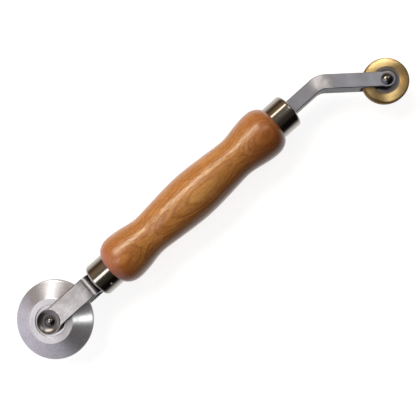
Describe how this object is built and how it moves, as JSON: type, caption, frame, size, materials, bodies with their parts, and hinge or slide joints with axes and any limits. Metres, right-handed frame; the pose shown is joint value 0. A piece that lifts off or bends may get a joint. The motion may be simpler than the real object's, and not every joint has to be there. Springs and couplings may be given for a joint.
{
  "type": "double-ended seam roller",
  "caption": "Hand roller with a turned wooden handle, a bevelled metal wheel in a steel fork at one end and a small brass wheel on a bent bar at the other.",
  "frame": {"origin": "middle of the wooden handle, on its axis", "axes": "+X along the handle towards the brass wheel; +Z along both wheel axles; the bent bar turns towards -Y"},
  "size_m": [0.2929, 0.0658, 0.0326],
  "materials": {
    "handle_wood": "clear gloss lacquer over orange-brown hardwood",
    "nickel_plate": "polished nickel plate",
    "zinc_steel": "satin zinc plate on stamped steel",
    "bar_steel": "satin grey steel, drawn along its length",
    "turned_aluminium": "lathe turned, fine rings",
    "turned_brass": "lathe turned and lightly polished",
    "rivet_steel": "dark domed rivet head",
    "bright_steel": "plain bright steel",
    "bearing_steel": "ground bearing steel",
    "cage_brass": "plain machined brass"
  },
  "bodies": {
    "handle_frame": {"handle": "handle_wood", "edge_ferrule": "nickel_plate", "seam_ferrule": "nickel_plate", "edge_ferrule_pin": "bright_steel", "seam_ferrule_pin": "bright_steel", "edge_fork": "zinc_steel", "edge_tang": "bright_steel", "edge_axle": "rivet_steel", "edge_thrust_washers": "bright_steel", "edge_bearing_inner_races": "bearing_steel", "seam_arm": "bar_steel", "seam_axle": "rivet_steel", "seam_thrust_washers": "bright_steel", "seam_bearing_inner_race": "bearing_steel"},
    "bevelled_wheel": {"edge_wheel": "turned_aluminium", "edge_bearing_outer_races": "bearing_steel", "edge_bearing_shields": "zinc_steel"},
    "bevelled_wheel_balls": {"edge_bearing_balls": "bearing_steel", "edge_bearing_cages": "cage_brass"},
    "brass_wheel": {"seam_wheel": "turned_brass", "seam_bearing_outer_race": "bearing_steel", "seam_bearing_shields": "zinc_steel"},
    "brass_wheel_balls": {"seam_bearing_balls": "bearing_steel", "seam_bearing_cage": "cage_brass"}
  },
  "joints": [
    {"name": "bevelled_wheel_spin", "type": "hinge", "parent": "handle_frame", "child": "bevelled_wheel", "pos_m": [-0.1179, 0, 0], "axis": [0, 0, 1], "continuous": true},
    {"name": "bevelled_ball_orbit", "type": "hinge", "parent": "handle_frame", "child": "bevelled_wheel_balls", "pos_m": [-0.1179, 0, 0], "axis": [0, 0, 1], "continuous": true},
    {"name": "brass_wheel_spin", "type": "hinge", "parent": "handle_frame", "child": "brass_wheel", "pos_m": [0.1355, -0.0263, 0], "axis": [0, 0, 1], "continuous": true},
    {"name": "brass_ball_orbit", "type": "hinge", "parent": "handle_frame", "child": "brass_wheel_balls", "pos_m": [0.1355, -0.0263, 0], "axis": [0, 0, 1], "continuous": true}
  ],
  "couplings": [
    {"joint": "bevelled_ball_orbit", "follows": "bevelled_wheel_spin", "ratio": 0.6471},
    {"joint": "brass_ball_orbit", "follows": "brass_wheel_spin", "ratio": 0.6286}
  ]
}
